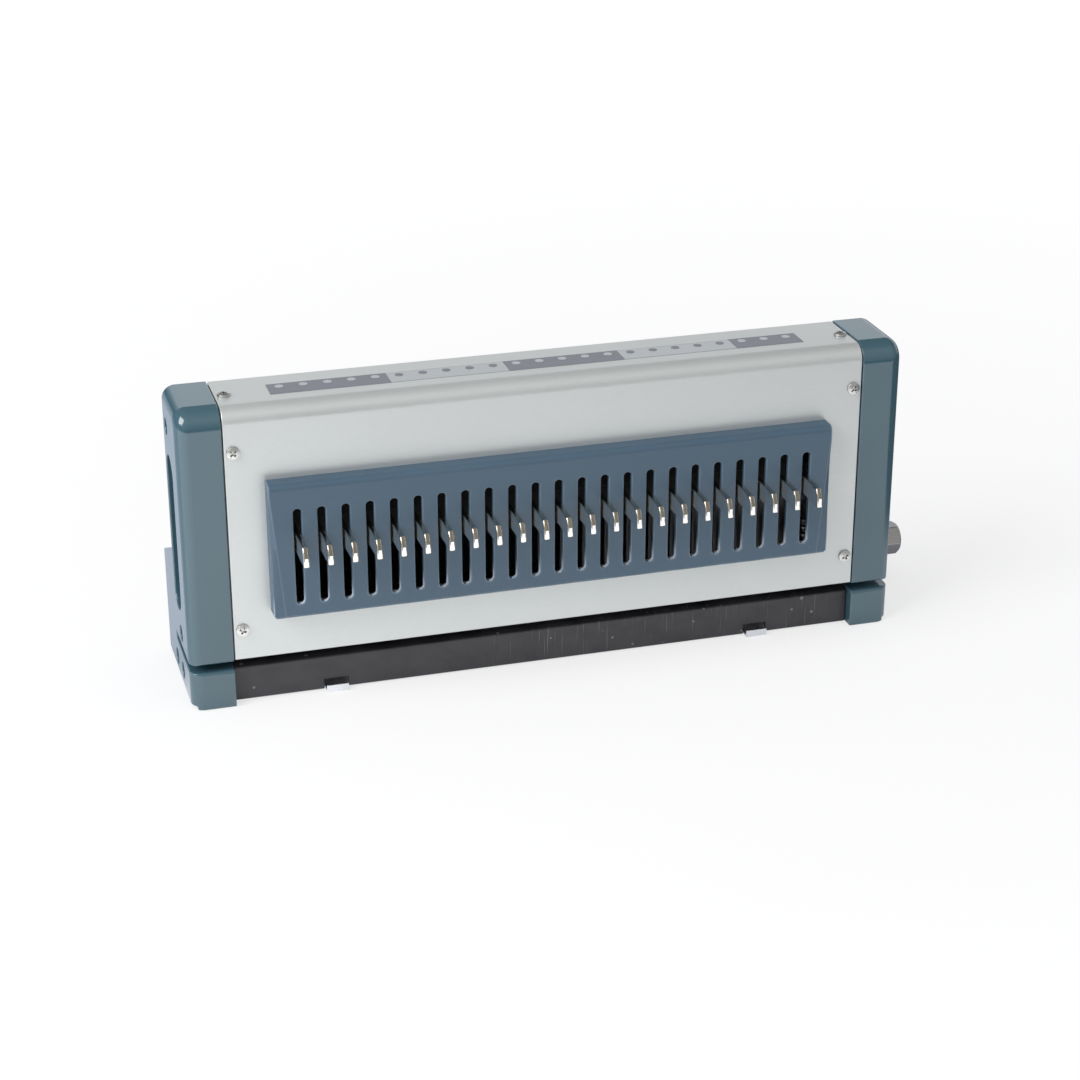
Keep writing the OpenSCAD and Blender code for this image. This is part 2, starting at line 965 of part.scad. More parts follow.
module punch_pins() {
  color("silver")
    for (i = [0 : hole_count - 1])
      translate([hole_x(i), pin_y, 0]) {
        translate([0, 0, pin_tip])
          cylinder(d = hole_d, h = pin_top - pin_tip);
        translate([0, 0, keeper_top])
          cylinder(d = head_d, h = head_t);
      }
}

// Bracket at one end of the ram: runs on the guide column and carries the rack on its rear arm
module ram_bracket() {
  x0 = stack_half;
  x1 = plate_in - bracket_gap;
  arm_x = column_x - gear_w / 2;
  difference() {
    union() {
      block([x0, stack_front - past, bracket_low], [x1, bracket_rear, beam_top]);
      block([x0 - lug_reach, lug_front, lug_low], [x1, stack_front - bracket_gap, lug_high]);
      block([x0, stack_front - beam_over, lug_low], [x1, stack_front, lug_high]);
      block([arm_x, arm_front, arm_low],
            [arm_x + gear_w, min(bracket_rear, rack_front), bracket_low + arm_join]);
      block([arm_x, arm_front, arm_low], [arm_x + gear_w, rack_front, rack_top]);
    }
    translate([column_x, pin_y, bracket_low - past])
      cylinder(d = bush_d, h = beam_top - bracket_low + 2 * past);
  }
}

module left_ram_bracket() {
  color("whitesmoke")
    mirror([1, 0, 0])
      ram_bracket();
}

module right_ram_bracket() {
  color("whitesmoke")
    ram_bracket();
}

module ram_bushes() {
  color("goldenrod")
    both_ends()
      translate([column_x, pin_y, bracket_low])
        difference() {
          cylinder(d = bush_d, h = beam_top - bracket_low);
          translate([0, 0, -past])
            cylinder(d = column_d + 2 * run_fit, h = beam_top - bracket_low + 2 * past);
        }
}

// Rack outline: a bar with straight-flanked teeth, a tooth space level with the shaft
module rack_outline() {
  lean = tan(gear_angle);
  root_half = tooth_pitch / 4 - flank_play + dedendum * lean;
  tip_half = tooth_pitch / 4 - flank_play - gear_module * lean;
  first = ceil((rack_low - shaft_z) / tooth_pitch);
  last = floor((rack_teeth_top - shaft_z) / tooth_pitch) - 1;
  translate([rack_front, rack_low])
    square([rack_bar_t, rack_top - rack_low]);
  for (k = [first : last])
    let (z = shaft_z + (k + 0.5) * tooth_pitch)
      polygon([
        [rack_root - past, z - root_half], [rack_root, z - root_half], [rack_tip, z - tip_half],
        [rack_tip, z + tip_half], [rack_root, z + root_half], [rack_root - past, z + root_half]
      ]);
}

module rack() {
  along_x(column_x - gear_w / 2, gear_w)
    rack_outline();
}

module left_rack() {
  color("silver")
    mirror([1, 0, 0])
      rack();
}

module right_rack() {
  color("silver")
    rack();
}

// Involute tooth outline: angle from the tooth's middle to its flank at a radius
function involute(a) = tan(a) * 180 / PI - a;
tooth_half = 90 / gear_teeth - flank_play / gear_r * 180 / PI;
function flank(r) = tooth_half + involute(gear_angle) - involute(acos(gear_base_r / r));
flank_steps = 4;
function flank_r(j) = gear_base_r + (gear_tip_r - gear_base_r) * j / flank_steps;
function polar(r, a) = [r * cos(a), r * sin(a)];

// Pinion outline around the origin with one tooth towards -Y
module pinion_outline() {
  points = [
    for (k = [0 : gear_teeth - 1])
      let (mid = 180 + 360 * k / gear_teeth)
        each concat(
          [polar(gear_root_r, mid - flank(gear_base_r))],
          [for (j = [0 : flank_steps]) polar(flank_r(j), mid - flank(flank_r(j)))],
          [for (j = [flank_steps : -1 : 0]) polar(flank_r(j), mid + flank(flank_r(j)))],
          [polar(gear_root_r, mid + flank(gear_base_r))]
        )
  ];
  polygon(points);
}

module pinions() {
  color("silver")
    both_ends()
      along_x(column_x - gear_w / 2, gear_w)
        translate([shaft_y, shaft_z])
          difference() {
            pinion_outline();
            circle(d = shaft_d);
          }
}

// The drive shaft: round through the bearings, hexagonal and chamfered at its right end
module drive_shaft() {
  color("gray") {
    along_x(-plate_mid, plate_mid + hex_start)
      translate([shaft_y, shaft_z])
        circle(d = shaft_d);
    intersection() {
      along_x(hex_start, hex_len)
        translate([shaft_y, shaft_z])
          circle(r = hex_corner, $fn = 6);
      translate([hex_start, shaft_y, shaft_z])
        rotate([0, 90, 0])
          rotate_extrude()
            polygon([
              [0, 0], [hex_corner + past, 0], [hex_corner + past, hex_len - hex_chamfer],
              [hex_face / 2, hex_len], [0, hex_len]
            ]);
    }
  }
}

module shaft_bearings() {
  color("goldenrod")
    both_ends()
      along_x(plate_in, plate_t)
        translate([shaft_y, shaft_z])
          difference() {
            circle(d = bearing_d);
            circle(d = shaft_d + 2 * run_fit);
          }
}

// A pull tab: a flat steel slide with a slanted nose, notched at the rear to free its pin
module pull_tab(i) {
  color("gainsboro")
    along_x(hole_x(i) - tab_t / 2, tab_t)
      polygon([
        [tab_nose, tab_low], [tab_nose, tab_low + nose_rise],
        [tab_nose + nose_back, tab_top], [stack_rear, tab_top],
        [stack_rear, tab_low + notch_h], [tab_notch, tab_low + notch_h], [tab_notch, tab_low]
      ]);
}

// Pan-head screw with a cross recess turned by some steps, head underside at the origin, shank along -Z
module pan_screw(steps) {
  difference() {
    union() {
      intersection() {
        cylinder(d = pan_d, h = pan_h);
        translate([0, 0, pan_h - pan_dome_r])
          sphere(r = pan_dome_r);
      }
      translate([0, 0, -screw_len])
        cylinder(d = screw_d, h = screw_len + pan_h / 2);
    }
    for (turn = [0, 90])
      rotate([0, 0, turn + steps * cross_step])
        translate([-cross_l / 2, -cross_w / 2, pan_h - cross_deep])
          cube([cross_l, cross_w, cross_deep + past]);
  }
}

module cover_screws() {
  color("gainsboro")
    both_ends() {
      for (k = [0, 1])
        translate([plate_mid, cover_y, front_screw_z[k]])
          rotate([90, 0, 0])
            pan_screw(k + 1);
      translate([plate_mid, top_screw_y, cover_z])
        pan_screw(0);
    }
}

module rear_screws() {
  color("gainsboro")
    both_ends() {
      for (k = [0, 1]) {
        translate([plate_mid, rear_sheet_y, rear_screw_z[k]])
          rotate([-90, 0, 0])
            pan_screw(k);
        translate([plate_mid, hood_rear, hood_screw_z[k]])
          rotate([-90, 0, 0])
            pan_screw(2 - k);
      }
    }
}

// Socket-head screws that hold the cheeks, sunk in their bores
module cheek_screws() {
  color("dimgray")
    both_ends()
      for (at = cheek_screws_at)
        translate([cheek_in + cheek_floor, at[0], at[1]])
          rotate([0, 90, 0])
            difference() {
              union() {
                cylinder(d = cap_d, h = cap_h);
                translate([0, 0, -screw_len])
                  cylinder(d = screw_d, h = screw_len + cap_h / 2);
              }
              translate([0, 0, cap_h - cap_key_deep])
                cylinder(d = cap_key, h = cap_key_deep + past, $fn = 6);
            }
}

FIXED_NODES = [
  "left_cheek", "right_cheek", "front_cover", "rear_cover", "rear_hood", "floor_plate",
  "left_side_plate", "right_side_plate", "bezel", "mark_film", "mark_fields", "light_dots",
  "dark_dots", "die_bar", "front_catches", "paper_stop", "guide_plate", "tie_bar",
  "guide_columns", "return_springs", "ram_beam", "tab_comb", "pin_keeper", "punch_pins",
  "left_ram_bracket", "right_ram_bracket", "ram_bushes", "left_rack", "right_rack", "pinions",
  "drive_shaft", "shaft_bearings", "cover_screws", "rear_screws", "cheek_screws"
];
function tab_name(i) = str("pull_tab_", i < 9 ? "0" : "", i + 1);

left_cheek();
right_cheek();
front_cover();
rear_cover();
rear_hood();
floor_plate();
left_side_plate();
right_side_plate();
bezel();
mark_film();
mark_fields();
light_dots();
dark_dots();
die_bar();
front_catches();
paper_stop();
guide_plate();
tie_bar();
guide_columns();
return_springs();
ram_beam();
tab_comb();
pin_keeper();
punch_pins();
left_ram_bracket();
right_ram_bracket();
ram_bushes();
left_rack();
right_rack();
pinions();
drive_shaft();
shaft_bearings();
cover_screws();
rear_screws();
cheek_screws();
for (i = [0 : hole_count - 1])
  pull_tab(i);
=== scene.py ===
import json
import math

import bmesh
import bpy
from mathutils import Euler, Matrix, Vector

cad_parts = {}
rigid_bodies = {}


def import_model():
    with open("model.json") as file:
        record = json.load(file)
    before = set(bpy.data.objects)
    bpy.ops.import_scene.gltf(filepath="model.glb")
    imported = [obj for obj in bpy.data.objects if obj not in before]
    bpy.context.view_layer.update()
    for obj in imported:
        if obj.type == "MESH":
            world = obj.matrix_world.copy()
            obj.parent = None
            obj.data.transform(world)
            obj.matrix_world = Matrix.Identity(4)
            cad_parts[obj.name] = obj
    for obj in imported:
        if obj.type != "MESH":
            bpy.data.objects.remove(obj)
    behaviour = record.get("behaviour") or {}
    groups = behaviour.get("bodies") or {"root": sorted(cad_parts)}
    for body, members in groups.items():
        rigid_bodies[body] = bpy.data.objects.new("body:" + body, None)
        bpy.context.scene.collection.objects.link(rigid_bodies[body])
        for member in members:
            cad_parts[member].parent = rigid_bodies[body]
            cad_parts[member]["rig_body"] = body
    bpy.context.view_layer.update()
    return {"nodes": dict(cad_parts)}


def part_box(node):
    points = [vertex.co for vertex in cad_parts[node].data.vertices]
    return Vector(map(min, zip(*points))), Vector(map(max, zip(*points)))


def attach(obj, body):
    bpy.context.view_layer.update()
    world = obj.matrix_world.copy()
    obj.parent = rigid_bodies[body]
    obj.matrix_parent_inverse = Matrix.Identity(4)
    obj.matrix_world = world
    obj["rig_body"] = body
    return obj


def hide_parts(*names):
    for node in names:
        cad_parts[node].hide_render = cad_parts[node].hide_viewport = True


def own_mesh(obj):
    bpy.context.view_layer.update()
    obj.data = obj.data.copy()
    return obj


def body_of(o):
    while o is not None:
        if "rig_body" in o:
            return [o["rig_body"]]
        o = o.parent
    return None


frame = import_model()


# The frame inside: a flat floor plate under dark paint closes the foot between the two side plates.
# The tie bar, the guide plate and the paper stop are flat ground steel, screwed between the side plates.

def add(tree, kind, sockets=None, **settings):
    """One shader node, with its settings and with values or links on its sockets."""
    made = tree.nodes.new("ShaderNode" + kind)
    for name, value in settings.items():
        setattr(made, name, value)
    for name, value in (sockets or {}).items():
        if isinstance(value, bpy.types.NodeSocket):
            tree.links.new(value, made.inputs[name])
        else:
            made.inputs[name].default_value = value
    return made


def ranged(tree, value, low, high, to_low=0.0, to_high=1.0, kind="LINEAR"):
    """A value moved from one range to another and held inside it."""
    return add(tree, "MapRange", {
        "Value": value, "From Min": low, "From Max": high, "To Min": to_low, "To Max": to_high,
    }, interpolation_type=kind).outputs["Result"]


def between(tree, share, low, high):
    """A value between two values, by a share from 0 to 1."""
    return ranged(tree, share, 0.0, 1.0, low, high)


def math_of(tree, operation, first, second):
    """One step of arithmetic."""
    return add(tree, "Math", {0: first, 1: second}, operation=operation).outputs[0]


def times(tree, first, second):
    """One value times another."""
    return math_of(tree, "MULTIPLY", first, second)


def blended(tree, share, first, second):
    """A colour between two colours."""
    mix = add(tree, "Mix", data_type="RGBA")
    for index, value in ((0, share), (6, first), (7, second)):
        if isinstance(value, bpy.types.NodeSocket):
            tree.links.new(value, mix.inputs[index])
        else:
            mix.inputs[index].default_value = (*value, 1.0) if index else value
    return mix.outputs[2]


def effect(name, inputs, output):
    """An empty shader node group with named inputs and one named output."""
    tree = bpy.data.node_groups.new(name, "ShaderNodeTree")
    for label, value in inputs.items():
        kind = "NodeSocketVector" if isinstance(value, tuple) else "NodeSocketFloat"
        tree.interface.new_socket(label, in_out="INPUT", socket_type=kind).default_value = value
    tree.interface.new_socket(output, in_out="OUTPUT", socket_type="NodeSocketFloat")
    given = tree.nodes.new("NodeGroupInput").outputs
    result = tree.nodes.new("NodeGroupOutput").inputs[0]
    return tree, given, result


def place_on(tree, kind="Object"):
    """Places on the surface in metres, or with "Normal" the way that the surface faces."""
    return add(tree, "TexCoord").outputs[kind]


def stretched(tree, scale):
    """Places on the surface, times a scale along each axis."""
    return add(tree, "VectorMath", {0: place_on(tree), 1: scale}, operation="MULTIPLY").outputs[0]


def noise_of(tree, place, scale, detail, roughness=0.5):
    """Soft noise by the place on the surface."""
    return add(tree, "TexNoise", {
        "Vector": place, "Scale": scale, "Detail": detail, "Roughness": roughness,
    }).outputs["Fac"]


def all_ways(scale):
    """The same scale along each axis."""
    return (scale, scale, scale)


# Grain: fine noise, drawn out along the direction in which a surface was rolled, ground or moulded.
grain, given, result = effect("grain", {"Scale": all_ways(1000.0), "Detail": 4.0}, "Grain")
fine = noise_of(grain, stretched(grain, given["Scale"]), 1.0, given["Detail"], 0.6)
grain.links.new(ranged(grain, fine, 0.25, 0.75), result)

# Edge wear: where a convex edge is near, broken up so that it comes and goes along the edge.
edge_wear, given, result = effect("edge_wear", {"Width": 0.0008, "Patch": 90.0}, "Wear")
inner = add(edge_wear, "AmbientOcclusion", {"Distance": given["Width"]},
            inside=True, only_local=True, samples=6)
near_edge = ranged(edge_wear, inner.outputs["AO"], 0.97, 0.62)
patch = noise_of(edge_wear, place_on(edge_wear), given["Patch"], 3.0)
broken = ranged(edge_wear, patch, 0.35, 0.6, 0.25, 1.0)
edge_wear.links.new(times(edge_wear, near_edge, broken), result)

# Smudges: broad soft patches where hands and cloths have been.
smudges, given, result = effect("smudges", {"Scale": all_ways(12.0)}, "Smudge")
broad = noise_of(smudges, stretched(smudges, given["Scale"]), 1.0, 3.0)
smudges.links.new(ranged(smudges, broad, 0.28, 0.72, kind="SMOOTHSTEP"), result)


def use(tree, group, **values):
    """A shared effect placed in a material, with that material's own values."""
    placed = add(tree, "Group", node_tree=group)
    for label, value in values.items():
        placed.inputs[label].default_value = value
    return placed.outputs[0]


def finish_of(name, **fixed):
    """A material with one Principled shader, its even values set on the shader's own sockets."""
    material = bpy.data.materials.new(name)
    material.use_nodes = True
    tree = material.node_tree
    shader = tree.nodes["Principled BSDF"].inputs
    for label, value in fixed.items():
        shader[label.replace("_", " ")].default_value = value
    return material, tree, shader


def surfaced(tree, shader, colour, dullness):
    """Puts a colour and a roughness that change over the surface on the shader."""
    tree.links.new(colour, shader["Base Color"])
    tree.links.new(dullness, shader["Roughness"])


def bumped(tree, shader, height, depth, strength=1.0):
    """Relief of a real depth in metres."""
    bump = add(tree, "Bump", {"Height": height, "Distance": depth, "Strength": strength})
    tree.links.new(bump.outputs["Normal"], shader["Normal"])


def dressed(material, *names):
    """Gives solids that keep their own shape a finish."""
    for name in names:
        shown = frame["nodes"][name].data.materials
        shown.clear()
        shown.append(material)


def softened(name, material, width, steps=2):
    """A copy of a solid's mesh with its sharp edges broken, as a cut or moulded edge is, in its place."""
    merge_gap = 1e-6
    flat_angle, smooth_angle, edge_angle = math.radians(0.5), math.radians(30), math.radians(35)
    source = frame["nodes"][name]
    work = bmesh.new()
    work.from_mesh(source.data)
    bmesh.ops.remove_doubles(work, verts=work.verts, dist=merge_gap)
    bmesh.ops.dissolve_limit(work, angle_limit=flat_angle, verts=work.verts, edges=work.edges)
    mesh = bpy.data.meshes.new(name + "_edged")
    work.to_mesh(mesh)
    work.free()
    kept = mesh.attributes.get("custom_normal")
    if kept:
        mesh.attributes.remove(kept)
    mesh.shade_smooth()
    mesh.set_sharp_from_angle(angle=smooth_angle)
    mesh.materials.clear()
    mesh.materials.append(material)
    piece = bpy.data.objects.new(name + "_edged", mesh)
    bpy.context.scene.collection.objects.link(piece)
    edge = piece.modifiers.new("broken_edges", "BEVEL")
    edge.width = width
    edge.segments = steps
    edge.limit_method = "ANGLE"
    edge.angle_limit = edge_angle
    edge.use_clamp_overlap = False
    edge.loop_slide = False
    edge.harden_normals = True
    flat = piece.modifiers.new("flat_faces", "WEIGHTED_NORMAL")
    flat.keep_sharp = True
    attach(piece, body_of(source)[0])
    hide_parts(name)
    return piece


pan_edge = 0.0003
pan_paint, tree, shader = finish_of("pan_paint")
worn = use(tree, edge_wear, Width=0.0006)
cloud = use(tree, smudges, Scale=all_ways(20.0))
paint = blended(tree, cloud, (0.05, 0.052, 0.056), (0.066, 0.069, 0.074))
surfaced(tree, shader, blended(tree, worn, paint, (0.24, 0.24, 0.25)), between(tree, worn, 0.55, 0.4))
bumped(tree, shader, use(tree, grain, Scale=all_ways(900.0)), 0.00012, 0.6)
softened("floor_plate", pan_paint, pan_edge)

ground_steel, tree, shader = finish_of("ground_steel", Metallic=1.0)
lines = use(tree, grain, Scale=(60.0, 60.0, 2600.0), Detail=5.0)
steel = blended(tree, lines, (0.30, 0.305, 0.31), (0.44, 0.445, 0.45))
steel = blended(tree, use(tree, edge_wear), steel, (0.62, 0.62, 0.62))
surfaced(tree, shader, steel, between(tree, use(tree, smudges), 0.34, 0.5))
bumped(tree, shader, lines, 0.00002)
dressed(ground_steel, "paper_stop", "guide_plate", "tie_bar")


# The die bar: one ground and blackened steel bar right across the front, drilled under every pin.
# Its front face carries the fine upright scratches and pale nicks that paper and handling leave.
# The two side plates that it is screwed between are blackened with it.
# Their black also stands in as painted shade in the narrow seams beside the cheeks.

# Scratches: thin lines drawn out along one axis, in loose patches.
scratches, given, result = effect(
    "scratches", {"Scale": (1500.0, 1500.0, 30.0), "Patch": 14.0, "Amount": 1.0}, "Scratch")
line = noise_of(scratches, stretched(scratches, given["Scale"]), 1.0, 2.0)
where = noise_of(scratches, place_on(scratches), given["Patch"], 2.0)
thin = ranged(scratches, line, 0.64, 0.72)
loose = ranged(scratches, where, 0.46, 0.62)
scratches.links.new(times(scratches, times(scratches, thin, loose), given["Amount"]), result)

# Nicks: small pale spots, a few in every patch of the surface.
nicks, given, result = effect("nicks", {"Scale": 170.0, "Size": 0.16, "Share": 0.14}, "Nick")
cells = add(nicks, "TexVoronoi", {"Vector": place_on(nicks), "Scale": given["Scale"]}, feature="F1")
spot = math_of(nicks, "LESS_THAN", cells.outputs["Distance"], given["Size"])
chance = add(nicks, "SeparateColor", {"Color": cells.outputs["Color"]}).outputs["Red"]
nicks.links.new(times(nicks, spot, math_of(nicks, "LESS_THAN", chance, given["Share"])), result)

die_edge = 0.0005
nick_paleness = 0.6
blackened, tree, shader = finish_of("blackened_steel", Specular_IOR_Level=0.5)
lines = use(tree, scratches, Scale=(1700.0, 600.0, 26.0), Patch=11.0, Amount=0.55)
cloud = use(tree, smudges, Scale=(60.0, 60.0, 80.0))
black = blended(tree, cloud, (0.022, 0.022, 0.026), (0.042, 0.041, 0.047))
marked = math_of(tree, "MAXIMUM", lines, times(tree, use(tree, nicks), nick_paleness))
black = blended(tree, marked, black, (0.26, 0.25, 0.26))
black = blended(tree, use(tree, edge_wear, Width=0.0005), black, (0.085, 0.083, 0.09))
surfaced(tree, shader, black, between(tree, cloud, 0.36, 0.5))
bumped(tree, shader, use(tree, grain, Scale=(1500.0, 700.0, 160.0)), 0.00004, 0.7)
softened("die_bar", blackened, die_edge)
# The side plates' black also serves as painted shade in the seams beside the cheeks.
dressed(blackened, "left_side_plate", "right_side_plate")


# Two bent catches of bright plated strip, screwed under the die bar.
# Their turned-up lips take hold of the table that the punch stands on.

catch_edge = 0.0003
bright_plate, tree, shader = finish_of("bright_plate", Metallic=1.0)
tone = blended(tree, use(tree, smudges, Scale=all_ways(60.0)), (0.64, 0.65, 0.68), (0.74, 0.75, 0.77))
tone = blended(tree, use(tree, edge_wear, Width=0.0005), tone, (0.95, 0.95, 0.96))
surfaced(tree, shader, tone, between(tree, use(tree, grain, Scale=(300.0, 40.0, 300.0)), 0.24, 0.36))
bumped(tree, shader, use(tree, grain, Scale=(1200.0, 80.0, 1200.0)), 0.00001)
softened("front_catches", bright_plate, catch_edge)


# Two hardened and ground guide columns stand between the guide plate and the tie bar.
# Round the foot of each sits a return spring: drawn wire, coiled, with a closed turn at both ends.

dressed(bright_plate, "guide_columns")

# Painted shade: the wire is toned near black, so that the springs stay dark inside the punch.
spring_wire, tree, shader = finish_of("spring_wire", Metallic=1.0)
drawn = use(tree, grain, Scale=(500.0, 500.0, 900.0))
dark_wire = blended(tree, drawn, (0.010, 0.010, 0.011), (0.022, 0.022, 0.023))
surfaced(tree, shader, dark_wire, between(tree, drawn, 0.26, 0.42))
bumped(tree, shader, drawn, 0.00001)

spring_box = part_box("return_springs")
spring_foot, spring_head = spring_box[0].z, spring_box[1].z
spring_length = spring_head - spring_foot
wire_r = 0.0008
coil_out = (spring_box[1].y - spring_box[0].y) / 2
coil_r = coil_out - wire_r
coil_y = (spring_box[0].y + spring_box[1].y) / 2
coil_x = spring_box[1].x - coil_out
coil_turns, steps_a_turn, wire_sides = 8, 40, 10
closed_pitch = wire_r * 2.2
open_pitch = (spring_length - 2 * wire_r - 2 * closed_pitch) / (coil_turns - 2)


def coil_height(turn):
    """Height of the wire's middle: a closed turn, the open turns, and a closed turn again."""
    closed = min(turn, 1.0) + max(turn - (coil_turns - 1), 0.0)
    opened = min(max(turn - 1.0, 0.0), coil_turns - 2.0)
    return spring_foot + wire_r + closed * closed_pitch + opened * open_pitch


coils = bmesh.new()
for side in (-1, 1):
    rings = []
    for step in range(coil_turns * steps_a_turn + 1):
        turn = step / steps_a_turn
        angle = 2 * math.pi * turn
        outward = Vector((math.cos(angle), math.sin(angle), 0.0))
        middle = Vector((side * coil_x, coil_y, coil_height(turn))) + outward * coil_r
        ring = []
        for k in range(wire_sides):
            around = 2 * math.pi * k / wire_sides
            ring.append(coils.verts.new(
                middle + outward * wire_r * math.cos(around) + Vector((0, 0, wire_r * math.sin(around)))))
        rings.append(ring)
    for ring, after in zip(rings, rings[1:]):
        for k in range(wire_sides):
            beside = (k + 1) % wire_sides
            coils.faces.new((ring[k], after[k], after[beside], ring[beside]))
    coils.faces.new(rings[0])
    coils.faces.new(reversed(rings[-1]))
bmesh.ops.recalc_face_normals(coils, faces=coils.faces)
coil_mesh = bpy.data.meshes.new("return_spring_coils")
coils.to_mesh(coil_mesh)
coils.free()
coil_mesh.shade_smooth()
coil_mesh.materials.append(spring_wire)
springs = bpy.data.objects.new("return_spring_coils", coil_mesh)
bpy.context.scene.collection.objects.link(springs)
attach(springs, "body")
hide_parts("return_springs")
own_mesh(springs)


# The ram: a blackened steel trough with the tab comb and the pin keeper bolted under it, and 23 ground pins.
# A milled bracket at each end carries a bronze bush on the guide column and a rack for the drive.

oiled_black, tree, shader = finish_of("oiled_black", Specular_IOR_Level=0.4)
cloud = use(tree, smudges, Scale=(25.0, 25.0, 40.0))
black = blended(tree, cloud, (0.012, 0.012, 0.014), (0.022, 0.022, 0.025))
black = blended(tree, use(tree, edge_wear), black, (0.06, 0.06, 0.065))
surfaced(tree, shader, black, between(tree, cloud, 0.45, 0.62))
bumped(tree, shader, use(tree, grain, Scale=(200.0, 1500.0, 1500.0)), 0.00004)
dressed(oiled_black, "ram_beam", "tab_comb", "pin_keeper")

# Painted shade: the pins, racks and pinions are toned dark grey so that the inside of the punch reads dark.
shaded_pin_steel, tree, shader = finish_of("shaded_pin_steel", Metallic=1.0)
lines = use(tree, grain, Scale=(1400.0, 1400.0, 90.0))
tone = blended(tree, lines, (0.13, 0.13, 0.135), (0.22, 0.22, 0.225))
surfaced(tree, shader, tone, between(tree, lines, 0.3, 0.45))
bumped(tree, shader, lines, 0.00001)
dressed(shaded_pin_steel, "punch_pins", "left_rack", "right_rack", "pinions")

milled_steel, tree, shader = finish_of("milled_steel", Metallic=1.0)
passes = use(tree, grain, Scale=(90.0, 1600.0, 420.0), Detail=3.0)
tone = blended(tree, passes, (0.46, 0.46, 0.48), (0.62, 0.62, 0.64))
tone = blended(tree, use(tree, edge_wear), tone, (0.75, 0.75, 0.76))
surfaced(tree, shader, tone, between(tree, passes, 0.3, 0.42))
bumped(tree, shader, passes, 0.00002)
dressed(milled_steel, "left_ram_bracket", "right_ram_bracket")

bronze, tree, shader = finish_of("turned_bronze", Metallic=1.0)
turned = use(tree, grain, Scale=(1500.0, 60.0, 1500.0))
tone = blended(tree, turned, (0.42, 0.25, 0.10), (0.58, 0.37, 0.16))
tone = blended(tree, use(tree, edge_wear), tone, (0.72, 0.50, 0.25))
surfaced(tree, shader, tone, between(tree, turned, 0.28, 0.45))
bumped(tree, shader, turned, 0.00001)
dressed(bronze, "ram_bushes", "shaft_bearings")


# The drive shaft: drawn steel on two plain bronze bearings, with a hexagon on its end outside the right cheek.
# The drive's socket is pushed over that end, so its corners are rubbed bright.

shaft_edge = 0.0004
drawn_steel, tree, shader = finish_of("drawn_steel", Metallic=1.0)
draw = use(tree, grain, Scale=(30.0, 1500.0, 1500.0), Detail=5.0)
tone = blended(tree, draw, (0.33, 0.32, 0.31), (0.45, 0.44, 0.43))
tone = blended(tree, use(tree, edge_wear, Width=0.0009), tone, (0.52, 0.51, 0.50))
surfaced(tree, shader, tone, between(tree, draw, 0.24, 0.38))
bumped(tree, shader, draw, 0.00002)
softened("drive_shaft", drawn_steel, shaft_edge)


# The pull tabs: 23 flat slides cut from nickel-plated steel, one above each pin, which run in the ram's comb.
# The nose that the finger pulls has a painted highlight on its front face and a painted brownish shade on its
# slant.
# The flanks are polished by the slots and carry a painted reflection, pale near the nose and brown further in.

def axes(tree, kind="Object"):
    """The three parts of a place on the surface, or of the way that it faces."""
    return add(tree, "SeparateXYZ", {"Vector": place_on(tree, kind)}).outputs


def size_of(tree, value):
    """A value without its sign."""
    return add(tree, "Math", {0: value}, operation="ABSOLUTE").outputs[0]


tab_edge, tab_edge_steps = 0.0007, 3
tab_count = 23
nose_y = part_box("pull_tab_01")[0].y
pale_reflection_to, brown_reflection_from = nose_y + 0.006, nose_y + 0.018
flank_polish = 0.08
nickel, tree, shader = finish_of("bright_nickel", Metallic=1.0)
rolled = use(tree, grain, Scale=(900.0, 60.0, 900.0), Detail=4.0)
# Painted light by the way a face faces: shade on the slant, a highlight in front, a reflection on the flanks.
facing = axes(tree, "Normal")
sideways = size_of(tree, facing["X"])
flank = ranged(tree, sideways, 0.75, 0.95)
upward = times(tree, ranged(tree, facing["Z"], 0.40, 0.50), ranged(tree, facing["Z"], 0.90, 0.70))
shaded_slant = times(tree, upward, ranged(tree, sideways, 0.30, 0.10))
lit_front = ranged(tree, facing["Y"], -0.90, -0.97)
flank_reflection = ranged(tree, axes(tree)["Y"], pale_reflection_to, brown_reflection_from)
tone = blended(tree, rolled, (0.64, 0.59, 0.51), (0.72, 0.67, 0.59))
tone = blended(tree, flank, tone, blended(tree, flank_reflection, (0.90, 0.92, 0.94), (0.86, 0.73, 0.62)))
tone = blended(tree, shaded_slant, tone, (0.27, 0.24, 0.19))
tone = blended(tree, lit_front, tone, (0.84, 0.83, 0.82))
tone = blended(tree, use(tree, edge_wear, Width=0.0005), tone, (0.93, 0.92, 0.90))
handled = between(tree, use(tree, smudges, Scale=(150.0, 70.0, 150.0)), 0.18, 0.22)
surfaced(tree, shader, tone, math_of(tree, "SUBTRACT", handled, times(tree, flank, flank_polish)))
bumped(tree, shader, rolled, 0.00001)
for number in range(1, tab_count + 1):
    softened("pull_tab_%02d" % number, nickel, tab_edge, tab_edge_steps)


# The covers: the front cover is one sheet under satin silver paint, folded over the top, with the rear cover
# behind it. The hood over the shaft is folded steel under a fine-textured dark powder coat.

cover_edge, cover_edge_steps = 0.00045, 3
satin_sheet, tree, shader = finish_of("satin_silver", Metallic=0.5)
rolled = use(tree, grain, Scale=(260.0, 900.0, 900.0), Detail=3.0)
haze = use(tree, smudges, Scale=(9.0, 9.0, 14.0))
tone = blended(tree, rolled, (0.58, 0.605, 0.60), (0.61, 0.635, 0.63))
tone = blended(tree, times(tree, haze, 0.35), tone, (0.63, 0.65, 0.64))
tone = blended(tree, use(tree, edge_wear, Width=0.0005), tone, (0.76, 0.77, 0.77))
satin, from_haze, from_rolling = 0.34, 0.07, 0.06
uneven = math_of(tree, "ADD", times(tree, haze, from_haze), times(tree, rolled, from_rolling))
surfaced(tree, shader, tone, math_of(tree, "ADD", uneven, satin))
bumped(tree, shader, rolled, 0.000006)
for name in ("front_cover", "rear_cover"):
    softened(name, satin_sheet, cover_edge, cover_edge_steps)

